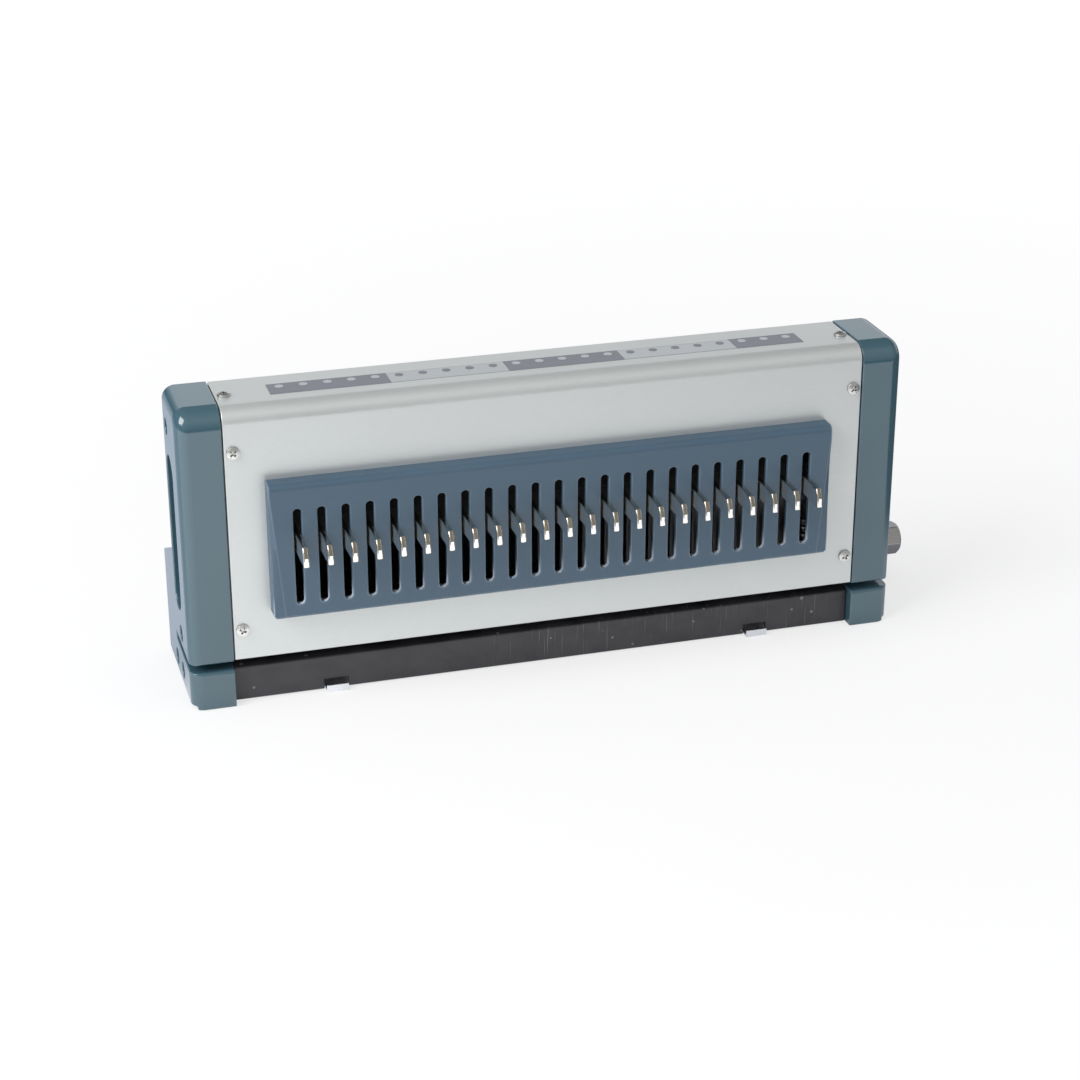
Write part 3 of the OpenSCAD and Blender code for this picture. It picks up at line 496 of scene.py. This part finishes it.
hood_edge = 0.0003
hood_coat, tree, shader = finish_of("hood_coat", Specular_IOR_Level=0.5)
coat = blended(tree, use(tree, smudges), (0.085, 0.092, 0.10), (0.105, 0.113, 0.122))
coat = blended(tree, use(tree, edge_wear, Width=0.0006), coat, (0.19, 0.20, 0.21))
surfaced(tree, shader, coat, between(tree, use(tree, smudges, Scale=all_ways(5.0)), 0.42, 0.54))
bumped(tree, shader, use(tree, grain, Scale=all_ways(750.0), Detail=2.0), 0.0002, 0.7)
softened("rear_hood", hood_coat, hood_edge)


# The bezel: a blue-grey moulding over the window of the cover, with a slot for the stroke of each tab.
# Its ends run out in a twisted facet with a faint crease, traced by a thin painted highlight. The rims of the
# slots are rubbed, with a painted highlight that pales them towards their lower ends and most at the lower
# right.

bezel_edge = 0.0003
bezel_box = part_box("bezel")
bezel_front, bezel_half = bezel_box[0].y, bezel_box[1].x
rim_below, past_slot = 0.0075, 0.0038
slot_foot = bezel_box[0].z + rim_below
last_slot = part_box("pull_tab_23")[1].x + past_slot
lit_ends_span = (slot_foot + 0.007, slot_foot + 0.001)
rim_highlight_span = (slot_foot + 0.012, slot_foot + 0.006)
rim_span = (slot_foot - 0.0015, slot_foot - 0.0012)
top_round, crease_in = 0.0035, 0.0063
crease_highlight_width, crease_highlight_strength = (0.0006, 0.0002), 0.11
face_depth = (bezel_front + 0.003, bezel_front + 0.0025)
worn_and_lit_blue = (0.34, 0.40, 0.48)
bezel_moulding, tree, shader = finish_of("bezel_moulding", IOR=1.55)
worn = use(tree, edge_wear, Width=0.0008, Patch=60.0)
cloud = use(tree, smudges, Scale=(10.0, 10.0, 14.0))
plastic = blended(tree, cloud, (0.052, 0.098, 0.147), (0.058, 0.106, 0.157))
place = axes(tree)
outward = size_of(tree, place["X"])

# Painted highlight: the rubbed rims turn paler and stronger towards the foot of the slots.
lit_lower_ends = ranged(tree, place["Z"], *lit_ends_span)
wear_and_highlight = blended(tree, lit_lower_ends, worn_and_lit_blue, (0.74, 0.84, 0.97))
share = times(tree, worn, between(tree, lit_lower_ends, 0.7, 0.95))
facing = axes(tree, "Normal")
# Painted highlight: near the foot of the slots, rims that face up and to the left are paled.
lamp_facing = math_of(tree, "SUBTRACT", times(tree, facing["Z"], 0.6), times(tree, facing["X"], 0.8))
in_slots = times(tree, ranged(tree, outward, last_slot + 0.001, last_slot),
                 ranged(tree, place["Z"], *rim_span))
rim_highlight = times(tree, ranged(tree, lamp_facing, 0.35, 0.6, 0.0, 0.9),
                  ranged(tree, place["Z"], *rim_highlight_span))
share = math_of(tree, "MAXIMUM", share, times(tree, in_slots, rim_highlight))

# Painted highlight: a thin pale line along the crease of each end facet.
crease_x = ranged(tree, place["Z"], bezel_box[1].z - top_round, bezel_box[0].z,
                  bezel_half, bezel_half - crease_in)
from_crease = size_of(tree, math_of(tree, "SUBTRACT", outward, crease_x))
on_face = ranged(tree, place["Y"], *face_depth, 0.0, crease_highlight_strength)
crease_highlight = times(tree, on_face, ranged(tree, from_crease, *crease_highlight_width))
plastic = blended(tree, crease_highlight, plastic, worn_and_lit_blue)
surfaced(tree, shader, blended(tree, share, plastic, wear_and_highlight), between(tree, cloud, 0.34, 0.44))
bumped(tree, shader, use(tree, grain, Scale=all_ways(1100.0), Detail=2.0), 0.00006, 0.6)
softened("bezel", bezel_moulding, bezel_edge)


# The mark strip: a printed film on the top, one mark above each pin.
# Dark fields with light dots and light fields with dark dots take turns, five marks to a field.

film_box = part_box("mark_film")
film_middle = (film_box[0].y + film_box[1].y) / 2
half_film = (film_box[1].y - film_box[0].y) / 2
border_out, border_in = half_film - 0.0003, half_film - 0.0006
border_strength = 0.6
film_print, tree, shader = finish_of("film_print", Metallic=0.6)
weft = use(tree, grain, Scale=all_ways(400.0))
from_middle = size_of(tree, math_of(tree, "SUBTRACT", axes(tree)["Y"], film_middle))
border = times(tree, ranged(tree, from_middle, border_in, border_out), border_strength)
tone = blended(tree, weft, (0.48, 0.505, 0.52), (0.53, 0.555, 0.57))
surfaced(tree, shader, blended(tree, border, tone, (0.2, 0.2, 0.23)), between(tree, weft, 0.32, 0.4))
bumped(tree, shader, weft, 0.00001)
dressed(film_print, "mark_film", "light_dots")

dark_print, tree, shader = finish_of("dark_print", Specular_IOR_Level=0.5)
screen = use(tree, grain, Scale=all_ways(500.0))
tone = blended(tree, screen, (0.13, 0.137, 0.168), (0.158, 0.165, 0.198))
surfaced(tree, shader, tone, between(tree, screen, 0.32, 0.42))
bumped(tree, shader, screen, 0.00001)
dressed(dark_print, "mark_fields", "dark_dots")


# The cheeks: two deep moulded ends in blue-grey plastic with a satin gloss, hollow and ribbed inside.
# Each has a grip recess in its outer face and a slit for the sheet, and is held by black socket screws.

cheek_edge, cheek_edge_steps = 0.0006, 3
rubbing = 0.45
cheek_moulding, tree, shader = finish_of("cheek_moulding", IOR=1.68)
worn = times(tree, use(tree, edge_wear, Width=0.0010, Patch=45.0), rubbing)
cloud = use(tree, smudges, Scale=all_ways(8.0))
plastic = blended(tree, cloud, (0.044, 0.100, 0.130), (0.049, 0.108, 0.139))
surfaced(tree, shader, blended(tree, worn, plastic, (0.16, 0.24, 0.29)), between(tree, cloud, 0.09, 0.14))
bumped(tree, shader, use(tree, grain, Scale=all_ways(420.0), Detail=2.0), 0.00003, 0.5)
for name in ("left_cheek", "right_cheek"):
    softened(name, cheek_moulding, cheek_edge, cheek_edge_steps)
dressed(blackened, "cheek_screws")


# The cover screws: zinc-plated pan heads with a cross recess, turned down flush on the covers.
# Six hold the folded cover to the side plates, and the others hold the rear cover and the hood.

# Recess shade: painted shade that darkens a recess and along a foot, where the surface is hemmed in.
recess_shade, given, result = effect("recess_shade", {"Width": 0.001}, "PaintedShade")
outer = add(recess_shade, "AmbientOcclusion", {"Distance": given["Width"]}, samples=6)
recess_shade.links.new(ranged(recess_shade, outer.outputs["AO"], 0.72, 0.34), result)

screw_edge = 0.00012
zinc, tree, shader = finish_of("bright_zinc", Metallic=1.0)
tone = blended(tree, use(tree, grain, Scale=all_ways(700.0)), (0.60, 0.60, 0.585), (0.68, 0.68, 0.66))
# Painted shade darkens the cross recess and the foot of each screw head.
tone = blended(tree, use(tree, recess_shade), tone, (0.045, 0.042, 0.038))
surfaced(tree, shader, tone, between(tree, use(tree, grain, Scale=all_ways(600.0)), 0.36, 0.46))
bumped(tree, shader, use(tree, grain, Scale=all_ways(1500.0)), 0.00001)
for name in ("cover_screws", "rear_screws"):
    softened(name, zinc, screw_edge)


# The studio: a pale table that keeps the object's shadow and runs out to white, with a soft lamp up on the left
# and a large weak one on the right. Gloss shows the table's front edge, a low white backdrop and a dim room
# above it.

table_reach, table_z = 8.0, -0.0002
corners = [(-table_reach, -table_reach), (table_reach, -table_reach),
           (table_reach, table_reach), (-table_reach, table_reach)]
floor_mesh = bpy.data.meshes.new("studio_floor")
floor_mesh.from_pydata([(x, y, table_z) for x, y in corners], [], [(0, 1, 2, 3)])
studio_floor = bpy.data.objects.new("studio_floor", floor_mesh)
bpy.context.scene.collection.objects.link(studio_floor)


def by_ray(tree, kind, others, mirrored, seen):
    """What gloss shows and what the camera sees of a surface or a sky, apart from the light that it gives."""
    path = add(tree, "LightPath").outputs
    reflected = math_of(tree, "MAXIMUM", path["Is Glossy Ray"], path["Is Transmission Ray"])
    choice = add(tree, "MixShader", {0: reflected, 1: others.outputs[0], 2: mirrored.outputs[0]})
    choice = add(tree, "MixShader", {0: path["Is Camera Ray"], 1: choice.outputs[0], 2: seen.outputs[0]})
    add(tree, kind, {"Surface": choice.outputs[0]})


white = (1.0, 1.0, 1.0, 1.0)
paper_white = (0.80, 0.80, 0.81)
paper = bpy.data.materials.new("studio_paper")
paper.use_nodes = True
tree = paper.node_tree
tree.nodes.clear()
table = axes(tree)

lit = add(tree, "BsdfDiffuse", {"Color": (*paper_white, 1.0)})

# In reflections only, the table carries painted light: a sheen in front of the object, brighter to the left; a
# darker, cooler painted shade behind it; and a painted shadow of the object slanting off its right end.
object_front, front_edge = (0.02, -0.06), (-0.68, -0.56)
sheen_span, sheen_strength = (-0.25, 0.30), (0.73, 0.38)
in_front = ranged(tree, table["Y"], *object_front)
front_sheen = times(tree, ranged(tree, table["X"], *sheen_span, *sheen_strength), in_front)
sheen = add(tree, "Emission", {"Color": white, "Strength": front_sheen})
shaded_behind = add(tree, "BsdfDiffuse", {"Color": blended(tree, in_front, (0.62, 0.67, 0.77), paper_white)})
near = add(tree, "AddShader", {0: shaded_behind.outputs[0], 1: sheen.outputs[0]})
beyond = add(tree, "BsdfDiffuse", {"Color": (0.10, 0.10, 0.105, 1.0)})
right_end, slant_end, end_slope = (0.28, 0.36), (0.14, 0.19), 0.8
slantwise = math_of(tree, "ADD", table["X"], times(tree, table["Y"], end_slope))
shaded_end = times(tree, ranged(tree, table["X"], *right_end), ranged(tree, slantwise, *slant_end))
table_edge = math_of(tree, "SUBTRACT", ranged(tree, table["Y"], *front_edge), shaded_end)
mirrored = add(tree, "MixShader", {0: table_edge, 1: beyond.outputs[0], 2: near.outputs[0]})

shaded = add(tree, "BsdfDiffuse", {"Color": (0.30, 0.30, 0.305, 1.0)})
from_object = add(tree, "VectorMath", {0: place_on(tree)}, operation="LENGTH").outputs["Value"]
glow_span, glow_strength = (0.3, 1.6), (0.67, 0.84)
glow = add(tree, "Emission", {
    "Color": white, "Strength": ranged(tree, from_object, *glow_span, *glow_strength),
})
seen = add(tree, "AddShader", {0: shaded.outputs[0], 1: glow.outputs[0]})
by_ray(tree, "OutputMaterial", lit, mirrored, seen)
floor_mesh.materials.append(paper)

studio_sky = bpy.data.worlds.new("studio_sky")
studio_sky.use_nodes = True
tree = studio_sky.node_tree
tree.nodes.clear()
toward = axes(tree, "Generated")
backdrop_top, backdrop_start, backdrop_side = (0.47, 0.43), (-0.2, 0.2), (-0.34, -0.14)
backdrop = times(tree, ranged(tree, toward["Z"], *backdrop_top), ranged(tree, toward["Y"], *backdrop_start))
backdrop = times(tree, backdrop, ranged(tree, toward["X"], *backdrop_side))
ceiling = times(tree, ranged(tree, toward["Y"], 0.2, -0.9, 0.12, 0.5),
                ranged(tree, toward["Z"], 0.1, 0.75, 0.3, 1.0))
ceiling = times(tree, ceiling, ranged(tree, toward["X"], 0.45, 0.05, 1.0, 1.8))
room = blended(tree, ceiling, (0.0, 0.0, 0.0), (1.0, 1.0, 0.96))
mirrored = add(tree, "Background", {"Color": blended(tree, backdrop, room, (1.03, 1.05, 1.09))})
even_light = add(tree, "Background", {"Color": (0.60, 0.605, 0.61, 1.0)})
seen = add(tree, "Background", {"Color": white})
by_ray(tree, "OutputWorld", even_light, mirrored, seen)
bpy.context.scene.world = studio_sky

object_middle = Vector((0.0, -0.02, 0.08))
for name, place, size, watts in (
    ("left_lamp", Vector((-1.40, -0.62, 1.30)), 1.1, 29.0),
    ("right_lamp", Vector((1.5, -1.3, 1.2)), 2.4, 4.0),
):
    lamp = bpy.data.lights.new(name, "AREA")
    lamp.shape = "SQUARE"
    lamp.size = size
    lamp.energy = watts
    lamp_object = bpy.data.objects.new(name, lamp)
    lamp_object.location = place
    lamp_object.rotation_euler = (object_middle - place).to_track_quat("-Z", "Y").to_euler()
    bpy.context.scene.collection.objects.link(lamp_object)


# The camera: a long lens on a stand at the front left, looking down on the object as in the photograph.
# Its place and tilt were fitted to the row of tabs, slots and dots.

stand = (-0.3403, -1.1859, 0.5959)
down, roll, right = math.radians(23.58), math.radians(0.08), math.radians(16.24)
camera = bpy.data.cameras.new("camera")
camera.sensor_width = 36.0
camera.lens = 81.15
camera.clip_start, camera.clip_end = 0.05, 40.0
camera_object = bpy.data.objects.new("camera", camera)
camera_object.location = stand
camera_object.rotation_euler = Euler((math.pi / 2 - down, roll, -right), "XYZ")
bpy.context.scene.collection.objects.link(camera_object)
bpy.context.scene.camera = camera_object
bpy.context.scene.view_settings.view_transform = "Standard"
